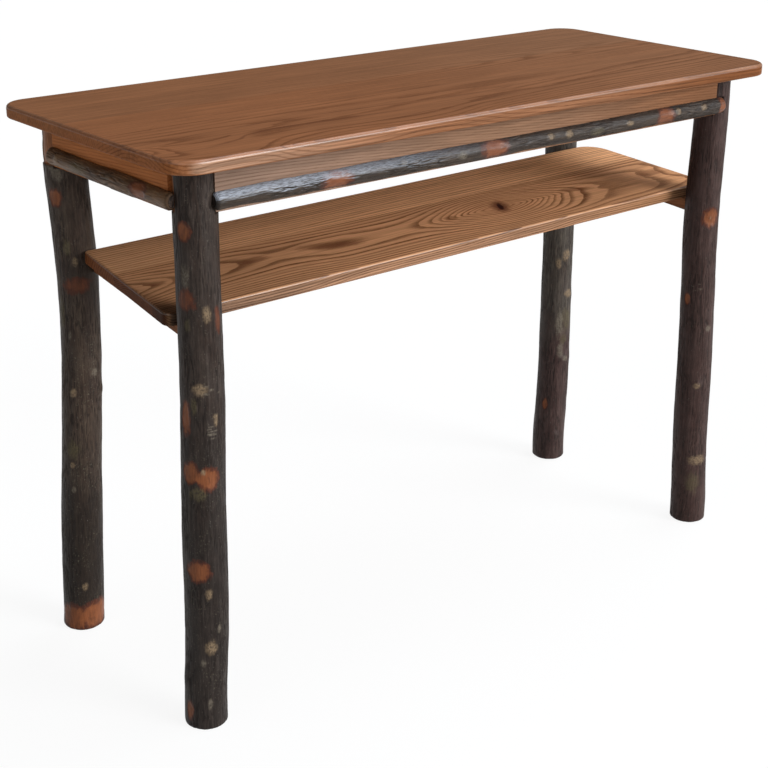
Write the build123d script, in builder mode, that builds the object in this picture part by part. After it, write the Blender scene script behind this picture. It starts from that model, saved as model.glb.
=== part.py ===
"""A rustic console table: an oak top and shelf on four bark-covered hickory logs.

Millimetres, +Z up. The origin is on the floor under the middle of the top.
X runs along the table's length, Y from its front to its back.
"""

from build123d import *
import os

os.makedirs("parts", exist_ok=True)

# ---- Driving dimensions ---------------------------------------------------

table_height = 800.0

# Top: boards glued edge to edge.
top_length = 1098.0
top_depth = 460.0
top_thickness = 18.0
top_board_count = 5
top_corner_radius = 40.0
top_upper_round = 5.0
top_lower_round = 3.0

# Legs: crooked logs. The top reaches this far past the axes of their upper ends.
top_overhang_ends = 64.0
top_overhang_long_sides = 69.0
log_diameter = 56.0
foot_chamfer = 3.5

# Apron boards, let into the outer sides of the legs.
apron_height = 61.0
apron_thickness = 19.0
apron_face_offset = 26.5
apron_end_inset = 15.0
notch_clearance = 0.3
notch_ledge_gap = 2.5

# Half-round poles planted on the apron faces.
pole_radius = 12.0
pole_thin_radius = 10.8
pole_thin_end_round = 4.0
pole_thick_end_round = 8.0
pole_rise = 2.5
pole_thin_end_inset_long = 11.0
pole_thick_end_inset_long = 1.0
pole_thin_end_inset_short = 2.0
pole_thick_end_inset_short = 11.0
pole_seat_clearance = 0.4

# Cleats that hold the top to the aprons.
cleat_size = 20.0
cleat_end_gap_long = 40.0
cleat_end_gap_short = 36.0

# Shelf: boards glued edge to edge, a little out of level and out of square.
shelf_below_top = 205.0
shelf_thickness = 18.0
shelf_joint_from_front = 160.0
shelf_leg_gap = 3.0
shelf_past_left_back = -1.0
shelf_past_left_front = 28.0
shelf_past_right_back = 45.0
shelf_past_right_front = 53.0
shelf_fall_forward = 18.0
shelf_fall_left = 9.0
shelf_corner_radii = (12.0, 40.0, 40.0, 6.0)
shelf_upper_round = 3.0
shelf_lower_round = 2.0

# Rails under the shelf's ends, housed in the legs. The left one follows the skew
# of the shelf's left end.
rail_width = 20.0
left_rail_inset = 15.5
left_rail_turn = -5.0
rail_height = 17.0
rail_housing_depth = 18.0
rail_housing_clearance = 0.2

# Countersunk wood screws.
screw_radius = 2.0
screw_head_radius = 4.0
screw_point_length = 4.0
screw_point_radius = 0.3
screw_head_recess = 0.6
screw_drive_width = 2.2
screw_drive_depth = 1.2
screw_bore_clearance = 0.1
apron_screw_length = 36.0
apron_screw_end_distance = 7.0
pole_screw_length = 26.0
pole_screw_end_distance = 65.0
long_side_pole_screw_count = 4
short_side_pole_screw_count = 2
cleat_screw_length = 32.0
cleat_screw_end_distance = 36.0
long_side_cleat_screw_count = 5
short_side_cleat_screw_count = 2
top_screw_length = 32.0
top_screw_end_distance = 90.0
long_side_top_screw_count = 6
short_side_top_screw_count = 3
shelf_screw_length = 28.0
shelf_screw_spacing = 86.0
shelf_screw_count = 3

# Where each log's centre wanders to, as (shift in x, shift in y, diameter),
# from the floor up to the underside of the top. The shifts are from the axis of
# its upper end, and the heights are shares of the log's length.
log_station_shares = (0.0, 0.13, 0.26, 0.41, 0.56, 0.71, 0.86, 1.0)
log_stations = {
    "leg_front_left": (
        (-19, -10, log_diameter + 2.5),
        (-13, -8, log_diameter + 2.5),
        (-9, -7, log_diameter + 3.5),
        (-6, -5, log_diameter + 3.5),
        (0, -1, log_diameter + 2.0),
        (2, -0.5, log_diameter + 0.5),
        (1.5, -0.5, log_diameter + 0.5),
        (0.5, 0, log_diameter),
    ),
    "leg_front_right": (
        (20, -10.5, log_diameter + 2.5),
        (16, -8.5, log_diameter + 1.5),
        (12.5, -7, log_diameter + 1.0),
        (9.5, -6, log_diameter),
        (5, -4, log_diameter - 1.0),
        (2.5, -2.5, log_diameter - 1.5),
        (3.5, -3.5, log_diameter - 3.0),
        (3, -3, log_diameter - 3.0),
    ),
    "leg_back_left": (
        (-20, 10.5, log_diameter + 4.5),
        (-15.5, 7.5, log_diameter + 4.0),
        (-11.5, 4.5, log_diameter + 3.5),
        (-4.5, 1, log_diameter + 1.0),
        (2, -1, log_diameter),
        (4.5, -1.5, log_diameter + 0.5),
        (0, -0.5, log_diameter + 1.5),
        (0, 0, log_diameter),
    ),
    "leg_back_right": (
        (18, 11.5, log_diameter + 2.5),
        (16.5, 9, log_diameter + 1.0),
        (15, 5.5, log_diameter - 0.5),
        (11, 3.5, log_diameter - 2.0),
        (7, 1.5, log_diameter - 3.0),
        (3, 0.5, log_diameter - 2.5),
        (1, 0, log_diameter - 2.0),
        (0, 0, log_diameter - 2.0),
    ),
}

# Which side of the table each leg stands on, as signs of x and y.
leg_sides = {
    "leg_front_left": (-1, -1),
    "leg_front_right": (1, -1),
    "leg_back_left": (-1, 1),
    "leg_back_right": (1, 1),
}

# ---- Dimensions that follow -----------------------------------------------

leg_x = top_length / 2 - top_overhang_ends
leg_y = top_depth / 2 - top_overhang_long_sides
leg_length = table_height - top_thickness

apron_face_x = leg_x + apron_face_offset
apron_face_y = leg_y + apron_face_offset
apron_inner_x = apron_face_x - apron_thickness
apron_inner_y = apron_face_y - apron_thickness
apron_end_x = leg_x - apron_end_inset
apron_end_y = leg_y - apron_end_inset
apron_bottom = leg_length - apron_height

pole_axis_height = apron_bottom + pole_rise + pole_radius
pole_ends_x = (-leg_x + pole_thin_end_inset_long, leg_x - pole_thick_end_inset_long)
pole_ends_y = (-leg_y + pole_thin_end_inset_short, leg_y - pole_thick_end_inset_short)

cleat_end_x = leg_x - cleat_end_gap_long
cleat_end_y = leg_y - cleat_end_gap_short
cleat_bottom = leg_length - cleat_size

top_board_width = top_depth / top_board_count

shelf_depth = 2 * leg_y - log_diameter - 2 * shelf_leg_gap
shelf_length = 2 * leg_x + shelf_past_left_front + shelf_past_right_front
shelf_board_edges = {
    "front": (-shelf_depth / 2, -shelf_depth / 2 + shelf_joint_from_front),
    "back": (-shelf_depth / 2 + shelf_joint_from_front, shelf_depth / 2),
}
shelf_slope_x = shelf_fall_left / shelf_length
shelf_slope_y = shelf_fall_forward / shelf_depth
shelf_plane = Plane(
    origin=(0, 0, table_height - shelf_below_top),
    x_dir=(1, 0, shelf_slope_x),
    z_dir=(-shelf_slope_x, -shelf_slope_y, 1),
)
shelf_outline = (
    (-leg_x - shelf_past_left_front, -shelf_depth / 2),
    (leg_x + shelf_past_right_front, -shelf_depth / 2),
    (leg_x + shelf_past_right_back, shelf_depth / 2),
    (-leg_x - shelf_past_left_back, shelf_depth / 2),
)
rail_half_length = leg_y - log_diameter / 2 + rail_housing_depth
rail_middle = -shelf_thickness - rail_height / 2
rail_places = {
    "left": shelf_plane * Location((-leg_x + left_rail_inset, 0, rail_middle), (0, 0, left_rail_turn)),
    "right": shelf_plane * Location((leg_x, 0, rail_middle)),
}


# ---- Helpers --------------------------------------------------------------


def spread(count, half_width):
    """Evenly spaced places from one end to the other, about the middle."""
    step = 2 * half_width / (count - 1)
    return [-half_width + step * index for index in range(count)]


def place(side, along, outward, height):
    """The point this far along a side, this far out from the table's middle and this high."""
    x, y = (a * along + o * outward for a, o in zip(side["along"], side["out"]))
    return (x, y, height)


def box_between(corner, opposite_corner, mode=Mode.ADD):
    """A box with these two corners, added or cut as the mode says."""
    size = [abs(b - a) for a, b in zip(corner, opposite_corner)]
    middle = [(a + b) / 2 for a, b in zip(corner, opposite_corner)]
    with Locations(tuple(middle)):
        Box(*size, mode=mode)


def bore(places, length):
    """Cuts the countersunk bores of the screws out of the piece that is being built."""
    with Locations(*places):
        CounterSinkHole(
            radius=screw_radius + screw_bore_clearance,
            counter_sink_radius=screw_head_radius + screw_bore_clearance,
            depth=length + screw_bore_clearance,
            counter_sink_angle=90,
        )


def finish(piece, name):
    """Labels a finished piece and writes its file."""
    piece.part.label = name
    export_step(piece.part, f"parts/{name}.step")


# ---- The four sides, and where their screws go ------------------------------

long_side = {
    "inner": apron_inner_y,
    "face": apron_face_y,
    "apron_end": apron_end_x,
    "pole_ends": pole_ends_x,
    "cleat_end": cleat_end_x,
    "apron": spread(2, apron_end_x - apron_screw_end_distance),
    "pole": spread(long_side_pole_screw_count, apron_end_x - pole_screw_end_distance),
    "cleat": spread(long_side_cleat_screw_count, cleat_end_x - cleat_screw_end_distance),
    "top": spread(long_side_top_screw_count, cleat_end_x - top_screw_end_distance),
}
short_side = {
    "inner": apron_inner_x,
    "face": apron_face_x,
    "apron_end": apron_end_y,
    "pole_ends": pole_ends_y,
    "cleat_end": cleat_end_y,
    "apron": spread(2, apron_end_y - apron_screw_end_distance),
    "pole": spread(short_side_pole_screw_count, apron_end_y - pole_screw_end_distance),
    "cleat": spread(short_side_cleat_screw_count, cleat_end_y - 2 * cleat_screw_end_distance),
    "top": spread(short_side_top_screw_count, top_board_width),
}
sides = {
    "front": {"out": (0, -1), "along": (1, 0), **long_side},
    "back": {"out": (0, 1), "along": (1, 0), **long_side},
    "left": {"out": (-1, 0), "along": (0, 1), **short_side},
    "right": {"out": (1, 0), "along": (0, 1), **short_side},
}


def screws_of(side_name, kind):
    """Planes of one side's screws of one kind. Their heads face along the plane's normal."""
    side = sides[side_name]
    outward = (*side["out"], 0)
    inward = tuple(-component for component in outward)
    facing, out, height = {
        "apron": (outward, side["face"] - screw_head_recess, pole_axis_height),
        "pole": (inward, side["inner"], pole_axis_height),
        "cleat": (inward, side["inner"] - cleat_size, cleat_bottom + cleat_size / 2),
        "top": ((0, 0, -1), side["inner"] - cleat_size / 2, cleat_bottom),
    }[kind]
    return [Plane(origin=place(side, along, out, height), z_dir=facing) for along in side[kind]]


def shelf_screws_of(side_name):
    """Planes of the screws in the rail at one end of the shelf."""
    return [
        rail_places[side_name] * Plane(origin=(0, y, -rail_height / 2), z_dir=(0, 0, -1)).location
        for y in spread(shelf_screw_count, shelf_screw_spacing)
    ]


# ---- Top ------------------------------------------------------------------

with BuildPart() as top_slab:
    with BuildSketch(Plane.XY.offset(leg_length)):
        RectangleRounded(top_length, top_depth, top_corner_radius)
    extrude(amount=top_thickness)
    fillet(top_slab.faces().sort_by(Axis.Z)[-1].edges(), top_upper_round)
    fillet(top_slab.faces().sort_by(Axis.Z)[0].edges(), top_lower_round)
    for side_name in sides:
        bore(screws_of(side_name, "top"), top_screw_length)

for index in range(top_board_count):
    board_front = -top_depth / 2 + top_board_width * index
    with BuildPart() as top_board:
        add(top_slab.part)
        box_between(
            (-top_length, board_front, leg_length - top_thickness),
            (top_length, board_front + top_board_width, table_height + top_thickness),
            Mode.INTERSECT,
        )
    finish(top_board, f"top_board_{index + 1}")

# ---- Aprons, cleats and poles ----------------------------------------------

for side_name, side in sides.items():
    with BuildPart() as apron:
        box_between(
            place(side, -side["apron_end"], side["inner"], apron_bottom),
            place(side, side["apron_end"], side["face"], leg_length),
        )
        bore(screws_of(side_name, "apron"), apron_screw_length)
        bore(screws_of(side_name, "pole"), pole_screw_length)
        bore(screws_of(side_name, "cleat"), cleat_screw_length)
    finish(apron, f"apron_{side_name}")

    with BuildPart() as cleat:
        box_between(
            place(side, -side["cleat_end"], side["inner"] - cleat_size, cleat_bottom),
            place(side, side["cleat_end"], side["inner"], leg_length),
        )
        bore(screws_of(side_name, "cleat"), cleat_screw_length)
        bore(screws_of(side_name, "top"), top_screw_length)
    finish(cleat, f"cleat_{side_name}")

    # A pole is half of a turned form, flat against its apron. Its outline swells
    # and thins along the length, and its ends are rounded off.
    pole_middle = place(side, 0, side["face"], pole_axis_height)
    thin_end, thick_end = side["pole_ends"]
    thin_tip = thin_end + pole_thin_end_round
    thick_tip = thick_end - pole_thick_end_round
    with BuildPart() as pole:
        with BuildSketch(Plane(pole_middle, x_dir=(*side["along"], 0), z_dir=(*side["out"], 0))):
            with BuildLine():
                bark = Spline(
                    (thin_tip, pole_thin_radius),
                    (thin_tip / 3, pole_radius),
                    (thick_tip / 3, pole_thin_radius),
                    (thick_tip, pole_radius),
                    tangents=((1, 0), (1, 0)),
                )
                thin_edge = (thin_end, pole_thin_radius - pole_thin_end_round)
                thick_edge = (thick_end, pole_radius - pole_thick_end_round)
                RadiusArc(thin_edge, bark @ 0, pole_thin_end_round)
                RadiusArc(bark @ 1, thick_edge, pole_thick_end_round)
                Polyline(thick_edge, (thick_end, 0), (thin_end, 0), thin_edge)
            make_face()
        revolve(axis=Axis(pole_middle, (*side["along"], 0)), revolution_arc=180)
        bore(screws_of(side_name, "pole"), pole_screw_length)
    finish(pole, f"pole_{side_name}")

# ---- Shelf and its rails ----------------------------------------------------

with BuildPart() as shelf_slab:
    with BuildSketch(shelf_plane) as shelf_face:
        with BuildLine():
            Polyline(*shelf_outline, close=True)
        make_face()
        for (corner_x, corner_y), radius in zip(shelf_outline, shelf_corner_radii):
            corner = shelf_plane.from_local_coords((corner_x, corner_y, 0))
            fillet(shelf_face.vertices().sort_by_distance(corner)[0], radius)
    extrude(amount=-shelf_thickness)
    faces_upwards = shelf_slab.faces().sort_by(Axis(shelf_plane.origin, shelf_plane.z_dir))
    fillet(faces_upwards[-1].edges(), shelf_upper_round)
    faces_upwards = shelf_slab.faces().sort_by(Axis(shelf_plane.origin, shelf_plane.z_dir))
    fillet(faces_upwards[0].edges(), shelf_lower_round)
    for side_name in rail_places:
        bore(shelf_screws_of(side_name), shelf_screw_length)

for board_name, (front_edge, back_edge) in shelf_board_edges.items():
    with BuildPart() as shelf_board:
        add(shelf_slab.part)
        with Locations(shelf_plane * Location((0, (front_edge + back_edge) / 2, 0))):
            Box(2 * shelf_length, back_edge - front_edge, 4 * shelf_thickness, mode=Mode.INTERSECT)
    finish(shelf_board, f"shelf_board_{board_name}")

for side_name, rail_place in rail_places.items():
    with BuildPart() as rail:
        with Locations(rail_place):
            Box(rail_width, 2 * rail_half_length, rail_height)
        bore(shelf_screws_of(side_name), shelf_screw_length)
    finish(rail, f"shelf_rail_{side_name}")

# ---- Legs -------------------------------------------------------------------

cut_reach = 4 * log_diameter
pole_seat_bottom = pole_axis_height - pole_radius - pole_seat_clearance
pole_seat_top = pole_axis_height + pole_radius + pole_seat_clearance

for name, stations in log_stations.items():
    side_x, side_y = leg_sides[name]
    sides_met = (
        ("front" if side_y < 0 else "back", side_x),
        ("left" if side_x < 0 else "right", side_y),
    )
    with BuildPart() as leg:
        for share, (shift_x, shift_y, diameter) in zip(log_station_shares, stations):
            with BuildSketch(Plane.XY.offset(share * leg_length)):
                with Locations((side_x * leg_x + shift_x, side_y * leg_y + shift_y)):
                    Circle(diameter / 2)
        loft()
        chamfer(leg.edges().sort_by(Axis.Z)[0], foot_chamfer)
        for side_name, end_sign in sides_met:
            side = sides[side_name]
            # The notch that takes the apron board's end.
            notch_end = end_sign * (side["apron_end"] + notch_clearance)
            notch_bottom = apron_bottom - notch_ledge_gap
            box_between(
                place(side, notch_end, side["inner"], notch_bottom),
                place(side, notch_end - end_sign * cut_reach, side["inner"] + cut_reach, leg_length),
                Mode.SUBTRACT,
            )
            # The flat where the pole's end lies across the log.
            seat_end = side["pole_ends"][end_sign > 0] + end_sign * pole_seat_clearance
            box_between(
                place(side, seat_end, side["face"], pole_seat_bottom),
                place(side, seat_end - end_sign * cut_reach, side["face"] + cut_reach, pole_seat_top),
                Mode.SUBTRACT,
            )
            bore(screws_of(side_name, "apron"), apron_screw_length)
        # The housing for the shelf's rail.
        with Locations(rail_places["left" if side_x < 0 else "right"]):
            Box(
                rail_width + 2 * rail_housing_clearance,
                2 * (rail_half_length + rail_housing_clearance),
                rail_height + 2 * rail_housing_clearance,
                mode=Mode.SUBTRACT,
            )
    finish(leg, name)

# ---- Screws -----------------------------------------------------------------

upwards_from_here = (Align.CENTER, Align.CENTER, Align.MIN)
downwards_from_here = (Align.CENTER, Align.CENTER, Align.MAX)
head_height = screw_head_radius - screw_radius


def build_screws(places, length, name):
    """Writes one group of like screws, each with its head's face at its plane."""
    shank_length = length - head_height - screw_point_length
    with BuildPart() as screws:
        with Locations(*places):
            with Locations((0, 0, -head_height)):
                Cone(screw_radius, screw_head_radius, head_height, align=upwards_from_here)
                Cylinder(screw_radius, shank_length, align=downwards_from_here)
            with Locations((0, 0, -head_height - shank_length)):
                Cone(screw_point_radius, screw_radius, screw_point_length, align=downwards_from_here)
            Box(
                screw_drive_width,
                screw_drive_width,
                screw_drive_depth,
                align=downwards_from_here,
                mode=Mode.SUBTRACT,
            )
    finish(screws, name)


for kind, length in (
    ("apron", apron_screw_length),
    ("pole", pole_screw_length),
    ("cleat", cleat_screw_length),
    ("top", top_screw_length),
):
    places = [place_of for side_name in sides for place_of in screws_of(side_name, kind)]
    build_screws(places, length, f"{kind}_screws")

build_screws(shelf_screws_of("left") + shelf_screws_of("right"), shelf_screw_length, "shelf_screws")
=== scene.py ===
"""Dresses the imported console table: stained oak boards and hickory logs in their bark.

Blender metres, +Z up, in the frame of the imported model. Wood is laid out in
millimetres along, across and through each board, and along and around each log.
"""

import bpy
import math
import numpy as np
from mathutils import Matrix, Vector
from mathutils.bvhtree import BVHTree


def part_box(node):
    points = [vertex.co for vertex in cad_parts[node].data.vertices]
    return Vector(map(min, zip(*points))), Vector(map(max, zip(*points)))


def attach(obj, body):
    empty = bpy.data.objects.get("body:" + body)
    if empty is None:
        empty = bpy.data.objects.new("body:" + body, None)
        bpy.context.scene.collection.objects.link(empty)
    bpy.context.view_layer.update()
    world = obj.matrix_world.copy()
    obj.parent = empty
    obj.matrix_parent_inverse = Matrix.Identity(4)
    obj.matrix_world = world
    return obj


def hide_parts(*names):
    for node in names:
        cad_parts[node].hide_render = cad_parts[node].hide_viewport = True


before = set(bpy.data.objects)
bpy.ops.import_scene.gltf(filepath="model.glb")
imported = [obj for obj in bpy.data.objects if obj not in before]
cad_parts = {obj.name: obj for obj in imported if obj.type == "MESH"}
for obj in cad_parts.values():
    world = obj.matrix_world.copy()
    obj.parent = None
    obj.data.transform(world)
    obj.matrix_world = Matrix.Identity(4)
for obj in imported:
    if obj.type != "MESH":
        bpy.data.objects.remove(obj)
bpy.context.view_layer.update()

MM = 0.001
QUARTER = math.pi / 2


# ---- Colours and node trees ----


def paint(red, green, blue):
    """Screen values from 0 to 255, as the linear colour that a socket takes."""
    shares = (value / 255 for value in (red, green, blue))
    linear = (((s + 0.055) / 1.055) ** 2.4 if s > 0.04045 else s / 12.92 for s in shares)
    return (*linear, 1.0)


class Tree:
    """A node tree that is laid out one call at a time. Inputs are sockets or plain values."""

    def __init__(self, tree):
        self.tree = tree

    def node(self, kind, inputs=None, **settings):
        made = self.tree.nodes.new(f"ShaderNode{kind}")
        for name, value in settings.items():
            setattr(made, name, value)
        for key, value in (inputs or {}).items():
            if isinstance(value, bpy.types.NodeSocket):
                self.link(value, made.inputs[key])
            else:
                made.inputs[key].default_value = value
        return made

    def link(self, value, socket):
        self.tree.links.new(value, socket)

    def math(self, operation, *values):
        return self.node("Math", dict(enumerate(values)), operation=operation).outputs[0]

    def vector(self, operation, first, second):
        return self.node("VectorMath", {0: first, 1: second}, operation=operation).outputs[0]

    def add(self, *values):
        total = values[0]
        for value in values[1:]:
            total = self.math("ADD", total, value)
        return total

    def times(self, *values):
        total = values[0]
        for value in values[1:]:
            total = self.math("MULTIPLY", total, value)
        return total

    def length(self, x, y):
        return self.math("SQRT", self.add(self.times(x, x), self.times(y, y)))

    def split(self, vector):
        """The three parts of a vector."""
        return self.node("SeparateXYZ", {0: vector}).outputs

    def facing(self):
        """The three parts of the direction that the surface faces."""
        return self.split(self.node("NewGeometry").outputs["Normal"])

    def placed(self, vector, location, turn, scale=(1, 1, 1)):
        """The vector as measured from another place, turned, and in another unit."""
        inputs = {"Vector": vector, "Location": location, "Rotation": turn, "Scale": scale}
        return self.node("Mapping", inputs, vector_type="TEXTURE").outputs[0]

    def step(self, value, low, high, to_low=0.0, to_high=1.0):
        """Runs smoothly from one value to the other while the first goes from low to high."""
        spans = {"Value": value, "From Min": low, "From Max": high, "To Min": to_low, "To Max": to_high}
        return self.node("MapRange", spans, interpolation_type="SMOOTHSTEP").outputs["Result"]

    def noise(self, place, size, detail=2.0, roughness=0.5):
        """Noise whose lumps are about this many millimetres along each axis."""
        scaled = self.vector("MULTIPLY", place, tuple(1 / s for s in size))
        inputs = {"Vector": scaled, "Scale": 1.0, "Detail": detail, "Roughness": roughness}
        return self.node("TexNoise", inputs).outputs[0]

    def blend(self, share, first, second, how="MIX"):
        """One colour over another."""
        inputs = {0: share, 6: first, 7: second}
        return self.node("Mix", inputs, data_type="RGBA", blend_type=how).outputs[2]

    def tint(self, colour, tone):
        return self.blend(1.0, colour, tone, "MULTIPLY")

    def group(self, group, inputs):
        return self.node("Group", inputs, node_tree=group).outputs

    def along_curve(self, along, reach, turns, height):
        """A smooth curve along a board through points of (millimetres along, value).

        It is drawn over the reach to each side of the middle, and over the height to each side of 0.
        """
        spans = {"Value": along, "From Min": -reach, "From Max": reach}
        curve = self.node("FloatCurve", {"Value": self.node("MapRange", spans).outputs["Result"]})
        points = curve.mapping.curves[0].points
        while len(points) < len(turns):
            points.new(0.5, 0.5)
        for point, (place, value) in zip(points, sorted(turns)):
            point.location = ((place + reach) / (2 * reach), 0.5 + value / (2 * height))
            point.handle_type = "AUTO_CLAMPED"
        curve.mapping.update()
        return self.times(self.math("SUBTRACT", curve.outputs[0], 0.5), 2 * height)


ORIGIN = (0.0, 0.0, 0.0)


def new_group(name, inputs, outputs):
    """A node group, its tree, the sockets that its inputs come from, and those of its outputs."""
    group = bpy.data.node_groups.new(name, "ShaderNodeTree")
    kinds = {1: "NodeSocketFloat", 3: "NodeSocketVector", 4: "NodeSocketColor"}
    for socket, value in inputs.items():
        made = group.interface.new_socket(socket, in_out="INPUT", socket_type=kinds[np.size(value)])
        made.default_value = value
    for socket in outputs:
        kind = kinds[4 if socket == "Colour" else 1]
        group.interface.new_socket(socket, in_out="OUTPUT", socket_type=kind)
    given, out = group.nodes.new("NodeGroupInput"), group.nodes.new("NodeGroupOutput")
    return group, Tree(group), given.outputs, out.inputs


def new_finish(name):
    """A material, its tree, its shader's sockets, and where on the table a point is, in metres."""
    material = bpy.data.materials.new(name)
    material.use_nodes = True
    tree = Tree(material.node_tree)
    shader = material.node_tree.nodes["Principled BSDF"].inputs
    return material, tree, shader, tree.node("TexCoord").outputs["Object"]


def in_millimetres(tree, world):
    return tree.vector("MULTIPLY", world, (1 / MM,) * 3)


def apply_finish(tree, shader, colour, roughness, height, relief=MM):
    """Sends a finish to its shader, with its height as a bump this many metres deep."""
    bump = tree.node("Bump", {"Height": height, "Distance": relief})
    for value, socket in ((colour, "Base Color"), (roughness, "Roughness"), (bump.outputs[0], "Normal")):
        tree.link(value, shader[socket])


def by_socket(settings):
    """Settings under the names of the sockets that they go to."""
    return {key.replace("_", " ").title(): value for key, value in settings.items()}


def dress(node, material):
    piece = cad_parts[node]
    piece.data.materials.clear()
    piece.data.materials.append(material)


# ---- Oak ----


def oak_rings_group():
    """Counts growth rings out from the tree's heart, which runs along the board below its face."""
    inputs = {
        "Place": ORIGIN,
        "Heart Line": 0.0,
        "Figure": 0.0,
        "Figure Reach": 60.0,
        "Ring Width": 4.5,
        "Rings Below": 45.0,
        "Waver": 0.2,
        "Knot": ORIGIN,
        "Knot Reach": 112.0,
        "Knot Rings": 0.0,
    }
    group, tree, given, out = new_group("oak_rings", inputs, ["Rings"])
    place = tree.split(given["Place"])
    off_heart = tree.math("SUBTRACT", place[1], given["Heart Line"])
    spread = tree.math("POWER", tree.math("DIVIDE", off_heart, given["Figure Reach"]), 2.0)
    damping = tree.math("EXPONENT", tree.times(spread, -1.0))
    depth = tree.math("DIVIDE", place[2], given["Ring Width"])
    below = tree.add(given["Rings Below"], tree.times(given["Figure"], damping), depth)
    beside = tree.math("DIVIDE", off_heart, given["Ring Width"])
    distance = tree.length(beside, below)
    slow = tree.noise(given["Place"], (160, 22, 22), 1.0)
    quick = tree.noise(given["Place"], (34, 7, 7), 2.0)
    waver = tree.add(tree.times(slow, 4.0), tree.times(quick, 1.0), -2.5)
    # Round a knot the rings close up like an eye, longer along the board than across it.
    knot_x, knot_y, _ = tree.split(tree.vector("SUBTRACT", given["Place"], given["Knot"]))
    lengthways = tree.math("DIVIDE", knot_x, given["Knot Reach"])
    sideways = tree.math("SQRT", tree.add(tree.times(knot_y, knot_y), 20.0))
    sideways = tree.math("DIVIDE", sideways, tree.times(given["Knot Reach"], 0.42))
    far = tree.add(tree.times(lengthways, lengthways), sideways)
    near_knot = tree.math("EXPONENT", tree.times(far, -1.0))
    swirl = tree.times(near_knot, given["Knot Rings"], -1.0)
    tree.link(tree.add(distance, tree.times(waver, given["Waver"]), swirl), out["Rings"])
    return group


def oak_grain_group():
    """The dark porous line of each ring, the pores in it, and long streaks of tone."""
    inputs = {"Place": ORIGIN, "Rings": 0.0, "Line Width": 0.45}
    group, tree, given, out = new_group("oak_grain", inputs, ["Line", "Pores", "Streaks", "Height"])
    since = tree.math("FRACT", given["Rings"])
    fading = tree.step(since, 0.06, given["Line Width"], 1.0, 0.0)
    rising = tree.step(since, 0.93, 1.0)
    ring = tree.math("FLOOR", tree.add(given["Rings"], 0.04))
    strength = tree.node("TexWhiteNoise", {"W": ring}, noise_dimensions="1D").outputs[0]
    ragged = tree.noise(given["Place"], (26, 1.6, 1.6), 3.0, 0.6)
    line = tree.times(
        tree.math("MAXIMUM", fading, rising),
        tree.step(strength, 0.0, 1.0, 0.6, 1.0),
        tree.step(ragged, 0.25, 0.6, 0.6, 1.0),
    )
    dashes = tree.step(tree.noise(given["Place"], (9, 0.55, 0.55), 2.0), 0.52, 0.66)
    pores = tree.times(dashes, tree.step(line, 0.0, 0.8, 0.12, 1.0))
    long_streaks = tree.noise(given["Place"], (240, 6, 6), 3.0, 0.6)
    short_streaks = tree.noise(given["Place"], (90, 3.4, 3.4), 2.0, 0.6)
    streaks = tree.add(tree.times(long_streaks, 0.5), tree.times(short_streaks, 0.5))
    height = tree.add(tree.times(line, -0.06), tree.times(pores, -0.10), tree.times(streaks, 0.03))
    for name, value in (("Line", line), ("Pores", pores), ("Streaks", streaks), ("Height", height)):
        tree.link(value, out[name])
    return group


def edge_stain_and_sheen_group():
    """The stain on a board's edges, banded and darker on end grain, with a painted sheen along the front
    one: paler and greyer at its left end, darker towards its right end.
    """
    inputs = {
        "Place": ORIGIN,
        "Colour": paint(255, 255, 255),
        "Left": (1.14, 1.6, 2.35, 1.0),
        "Middle": (0.84, 0.89, 0.96, 1.0),
        "Right": (0.61, 0.48, 0.33, 1.0),
        "End": (1.03, 0.90, 0.70, 1.0),
    }
    group, tree, given, out = new_group("edge_stain_and_sheen", inputs, ["Colour"])
    facing = tree.facing()
    along = tree.split(given["Place"])[0]
    # Painted sheen: the front edge's tone runs from pale and grey at the left end to darker towards the
    # right.
    tone = tree.blend(tree.step(along, -540, -120), given["Left"], given["Middle"])
    tone = tree.blend(tree.step(along, 60, 480), tone, given["Right"])
    bands = tree.step(tree.noise(given["Place"], (210, 40, 2.3), 2.0), 0.34, 0.66, 0.76, 1.2)
    stained = tree.tint(given["Colour"], tree.tint(tone, bands))
    colour = tree.blend(tree.step(facing[1], -0.97, -0.8, 1.0, 0.0), given["Colour"], stained)
    end_grain = tree.step(tree.math("ABSOLUTE", facing[0]), 0.6, 0.95)
    tree.link(tree.blend(end_grain, colour, tree.tint(colour, given["End"])), out["Colour"])
    return group


oak_rings = oak_rings_group()
oak_grain = oak_grain_group()
edge_stain_and_sheen = edge_stain_and_sheen_group()

# A board's heart and figure are drawn over this far along, this far across and this many rings.
BOARD_REACH = 560.0
HEART_SPREAD = 200.0
FIGURE_RINGS = 12.0


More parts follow.
